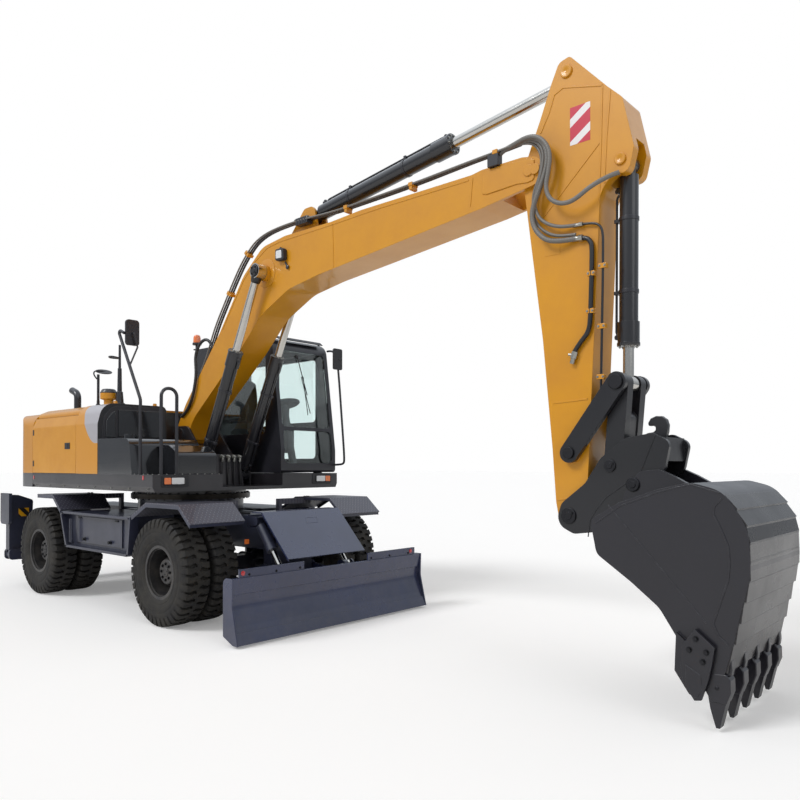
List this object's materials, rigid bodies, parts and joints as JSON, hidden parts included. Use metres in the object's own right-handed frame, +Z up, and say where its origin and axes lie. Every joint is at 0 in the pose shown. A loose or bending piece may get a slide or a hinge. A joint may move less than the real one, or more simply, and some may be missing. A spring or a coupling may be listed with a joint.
{
  "type": "wheeled excavator",
  "caption": "Wheeled excavator with a swinging house, cab, boom, arm, coupler and bucket, a dozer blade and folding legs.",
  "frame": {"origin": "on the ground, below the middle of the machine's overall length and width as it stands in the picture", "axes": "+X forward from the counterweight to the bucket, +Y to the operator's left (the cab side), +Z up"},
  "size_m": [9.1585, 2.536, 4.5959],
  "materials": {
    "yellow_paint": "gloss yellow paint",
    "grey_paint": "satin dark grey paint",
    "dark_paint": "satin dark paint",
    "rim_paint": "satin black paint",
    "bucket_paint": "worn dark paint",
    "bare_steel": "oily steel",
    "chrome_rod": "polished",
    "iron": "cast",
    "tyre": "dusty rubber",
    "glass": "clear, slightly tinted",
    "dark_plastic": "matte"
  },
  "bodies": {
    "undercarriage": {"undercarriage_frame": "grey_paint", "slewing_ring": "bare_steel", "front_axle": "dark_paint", "rear_axle": "dark_paint", "gearbox_and_shafts": "dark_paint", "toolboxes": "grey_paint", "fenders": "grey_paint", "blade_guard": "grey_paint"},
    "knuckle_left": {"steering_knuckle_left": "dark_paint"},
    "knuckle_right": {"steering_knuckle_right": "dark_paint"},
    "wheels_front_left": {"tyres_front_left": "tyre", "rims_front_left": "rim_paint"},
    "wheels_front_right": {"tyres_front_right": "tyre", "rims_front_right": "rim_paint"},
    "wheels_rear_left": {"tyres_rear_left": "tyre", "rims_rear_left": "rim_paint"},
    "wheels_rear_right": {"tyres_rear_right": "tyre", "rims_rear_right": "rim_paint"},
    "toolbox_lid_left": {"toolbox_door_left": "grey_paint"},
    "toolbox_lid_right": {"toolbox_door_right": "grey_paint"},
    "blade": {"dozer_blade": "grey_paint"},
    "blade_cylinder_barrels": {"blade_barrels": "grey_paint"},
    "blade_cylinder_rods": {"blade_rods": "chrome_rod"},
    "leg_left": {"stabiliser_leg_left": "grey_paint"},
    "leg_right": {"stabiliser_leg_right": "grey_paint"},
    "leg_cylinder_left": {"leg_barrel_left": "grey_paint"},
    "leg_cylinder_right": {"leg_barrel_right": "grey_paint"},
    "leg_piston_left": {"leg_rod_left": "chrome_rod"},
    "leg_piston_right": {"leg_rod_right": "chrome_rod"},
    "house": {"house_frame": "grey_paint", "counterweight": "yellow_paint", "engine_block": "iron", "engine_bay_walls": "dark_paint", "hood_front_box": "yellow_paint", "air_cleaner": "dark_paint", "fuel_tank": "dark_paint", "handrails": "dark_paint", "cab_shell": "dark_paint", "cab_glass": "glass", "cab_interior": "dark_plastic"},
    "engine_door_right": {"side_door_right": "yellow_paint"},
    "engine_door_left": {"side_door_left": "yellow_paint"},
    "engine_hood": {"hood_lid": "yellow_paint", "exhaust_stack": "dark_paint"},
    "cab_entry_door": {"cab_door": "dark_paint", "door_glass": "glass"},
    "boom_body": {"boom": "yellow_paint"},
    "boom_cylinder_barrels": {"boom_barrels": "dark_paint"},
    "boom_cylinder_rods": {"boom_rods": "chrome_rod"},
    "arm_body": {"arm": "yellow_paint"},
    "arm_cylinder_barrel": {"arm_barrel": "dark_paint"},
    "arm_cylinder_rod": {"arm_rod": "chrome_rod"},
    "bucket_body": {"quick_coupler": "dark_paint", "bucket": "bucket_paint"},
    "bucket_cylinder_barrel": {"bucket_barrel": "dark_paint"},
    "bucket_cylinder_rod": {"bucket_rod": "chrome_rod"},
    "rocker": {"rocker_links": "dark_paint"},
    "link": {"power_link": "dark_paint"}
  },
  "joints": [
    {"name": "steer_left", "type": "hinge", "parent": "undercarriage", "child": "knuckle_left", "pos_m": [-0.63425, 0.7, 0.527], "axis": [0, 0, 1], "range_deg": [-25, 25]},
    {"name": "steer_right", "type": "hinge", "parent": "undercarriage", "child": "knuckle_right", "pos_m": [-0.63425, -0.7, 0.527], "axis": [0, 0, 1], "range_deg": [-25, 25]},
    {"name": "roll_front_left", "type": "hinge", "parent": "knuckle_left", "child": "wheels_front_left", "pos_m": [-0.63425, 0.961, 0.527], "axis": [0, 1, 0], "continuous": true},
    {"name": "roll_rear_left", "type": "hinge", "parent": "undercarriage", "child": "wheels_rear_left", "pos_m": [-3.43425, 0.961, 0.527], "axis": [0, 1, 0], "continuous": true},
    {"name": "roll_front_right", "type": "hinge", "parent": "knuckle_right", "child": "wheels_front_right", "pos_m": [-0.63425, -0.961, 0.527], "axis": [0, 1, 0], "continuous": true},
    {"name": "roll_rear_right", "type": "hinge", "parent": "undercarriage", "child": "wheels_rear_right", "pos_m": [-3.43425, -0.961, 0.527], "axis": [0, 1, 0], "continuous": true},
    {"name": "toolbox_lid_left_hinge", "type": "hinge", "parent": "undercarriage", "child": "toolbox_lid_left", "pos_m": [-2.01925, 1.1766, 0.99], "axis": [1, 0, 0], "range_deg": [0, 80]},
    {"name": "toolbox_lid_right_hinge", "type": "hinge", "parent": "undercarriage", "child": "toolbox_lid_right", "pos_m": [-2.01925, -1.1766, 0.99], "axis": [-1, 0, 0], "range_deg": [0, 80]},
    {"name": "blade_lift", "type": "hinge", "parent": "undercarriage", "child": "blade", "pos_m": [-0.21925, 0, 0.48], "axis": [0, -1, 0], "range_deg": [-9, 26]},
    {"name": "blade_barrels_swing", "type": "hinge", "parent": "undercarriage", "child": "blade_cylinder_barrels", "pos_m": [-0.11925, 0, 1.01], "axis": [0, -1, 0], "range_deg": [-3.72, 10.74]},
    {"name": "blade_rods_slide", "type": "slide", "parent": "blade_cylinder_barrels", "child": "blade_cylinder_rods", "axis": [0.6207, 0, -0.784], "range_m": [-0.19787, 0.06849]},
    {"name": "leg_left_swing", "type": "hinge", "parent": "undercarriage", "child": "leg_left", "pos_m": [-4.43425, 1.18, 0.4], "axis": [-1, 0, 0], "range_deg": [0, 120]},
    {"name": "leg_cylinder_left_swing", "type": "hinge", "parent": "undercarriage", "child": "leg_cylinder_left", "pos_m": [-4.43425, 0.33, 0.7], "axis": [-1, 0, 0], "range_deg": [-0.5, 2.45]},
    {"name": "leg_piston_left_slide", "type": "slide", "parent": "leg_cylinder_left", "child": "leg_piston_left", "axis": [0, 0.9892, -0.1463], "range_m": [-0.002, 0.48066]},
    {"name": "leg_right_swing", "type": "hinge", "parent": "undercarriage", "child": "leg_right", "pos_m": [-4.43425, -1.18, 0.4], "axis": [1, 0, 0], "range_deg": [0, 120]},
    {"name": "leg_cylinder_right_swing", "type": "hinge", "parent": "undercarriage", "child": "leg_cylinder_right", "pos_m": [-4.43425, -0.33, 0.7], "axis": [1, 0, 0], "range_deg": [-0.5, 2.45]},
    {"name": "leg_piston_right_slide", "type": "slide", "parent": "leg_cylinder_right", "child": "leg_piston_right", "axis": [0, -0.9892, -0.1463], "range_m": [-0.002, 0.48066]},
    {"name": "swing", "type": "hinge", "parent": "undercarriage", "child": "house", "pos_m": [-2.01925, 0, 1.185], "axis": [0, 0, 1], "continuous": true},
    {"name": "engine_door_right_hinge", "type": "hinge", "parent": "house", "child": "engine_door_right", "pos_m": [-3.61525, -1.24, 1.8], "axis": [0, 0, -1], "range_deg": [0, 100]},
    {"name": "engine_door_left_hinge", "type": "hinge", "parent": "house", "child": "engine_door_left", "pos_m": [-3.61525, 1.24, 1.8], "axis": [0, 0, 1], "range_deg": [0, 100]},
    {"name": "hood_hinge", "type": "hinge", "parent": "house", "child": "engine_hood", "pos_m": [-3.61325, 0, 2.26], "axis": [0, -1, 0], "range_deg": [0, 60]},
    {"name": "cab_door_hinge", "type": "hinge", "parent": "house", "child": "cab_entry_door", "pos_m": [-1.95925, 1.2544, 2.2], "axis": [0, 0, 1], "range_deg": [0, 90]},
    {"name": "boom_lift", "type": "hinge", "parent": "house", "child": "boom_body", "pos_m": [-1.93925, 0, 1.92], "axis": [0, -1, 0], "range_deg": [-55, 35]},
    {"name": "boom_barrels_swing", "type": "hinge", "parent": "house", "child": "boom_cylinder_barrels", "pos_m": [-1.37925, 0, 1.45], "axis": [0, -1, 0], "range_deg": [-57.22, 36.41]},
    {"name": "boom_rods_slide", "type": "slide", "parent": "boom_cylinder_barrels", "child": "boom_cylinder_rods", "axis": [0.4388, 0, 0.8986], "range_m": [-0.61049, 0.38849]},
    {"name": "arm_crowd", "type": "hinge", "parent": "boom_body", "child": "arm_body", "pos_m": [2.95275, 0, 3.82], "axis": [0, 1, 0], "range_deg": [-75, 35]},
    {"name": "arm_barrel_swing", "type": "hinge", "parent": "boom_body", "child": "arm_cylinder_barrel", "pos_m": [0.24075, 0, 4.12], "axis": [0, 1, 0], "range_deg": [-1.53, 0.71]},
    {"name": "arm_rod_slide", "type": "slide", "parent": "arm_cylinder_barrel", "child": "arm_cylinder_rod", "axis": [0.9921, 0, 0.1256], "range_m": [-0.82234, 0.38376]},
    {"name": "bucket_curl", "type": "hinge", "parent": "arm_body", "child": "bucket_body", "pos_m": [3.23175, 0, 1.203], "axis": [0, 1, 0], "range_deg": [0, 150]},
    {"name": "rocker_swing", "type": "hinge", "parent": "arm_body", "child": "rocker", "pos_m": [3.23775, 0, 1.662], "axis": [0, 1, 0], "range_deg": [-0.5, 120.87]},
    {"name": "link_swing", "type": "hinge", "parent": "rocker", "child": "link", "pos_m": [3.60375, 0, 2.153], "axis": [0, 1, 0], "range_deg": [-86.44, 0.5]},
    {"name": "bucket_barrel_swing", "type": "hinge", "parent": "arm_body", "child": "bucket_cylinder_barrel", "pos_m": [3.61575, 0, 3.725], "axis": [0, 1, 0], "range_deg": [-2.29, 0.5]},
    {"name": "bucket_rod_slide", "type": "slide", "parent": "bucket_cylinder_barrel", "child": "bucket_cylinder_rod", "axis": [-0.0076, 0, -1], "range_m": [-0.002, 1.09485]}
  ],
  "couplings": [
    {"joint": "steer_right", "follows": "steer_left", "ratio": 1},
    {"joint": "blade_barrels_swing", "follows": "blade_lift", "ratio": 0.405},
    {"joint": "blade_rods_slide", "follows": "blade_lift", "m_per_rad": -0.4275},
    {"joint": "leg_cylinder_left_swing", "follows": "leg_left_swing", "ratio": 0.02},
    {"joint": "leg_piston_left_slide", "follows": "leg_left_swing", "m_per_rad": 0.225},
    {"joint": "leg_cylinder_right_swing", "follows": "leg_right_swing", "ratio": 0.02},
    {"joint": "leg_piston_right_slide", "follows": "leg_right_swing", "m_per_rad": 0.225},
    {"joint": "boom_barrels_swing", "follows": "boom_lift", "ratio": 1.02},
    {"joint": "boom_rods_slide", "follows": "boom_lift", "m_per_rad": 0.6235},
    {"joint": "arm_barrel_swing", "follows": "arm_crowd", "ratio": 0.02},
    {"joint": "arm_rod_slide", "follows": "arm_crowd", "m_per_rad": 0.6159},
    {"joint": "rocker_swing", "follows": "bucket_curl", "ratio": 0.79},
    {"joint": "link_swing", "follows": "bucket_curl", "ratio": -0.565},
    {"joint": "bucket_barrel_swing", "follows": "bucket_curl", "ratio": -0.015},
    {"joint": "bucket_rod_slide", "follows": "bucket_curl", "m_per_rad": 0.41}
  ]
}
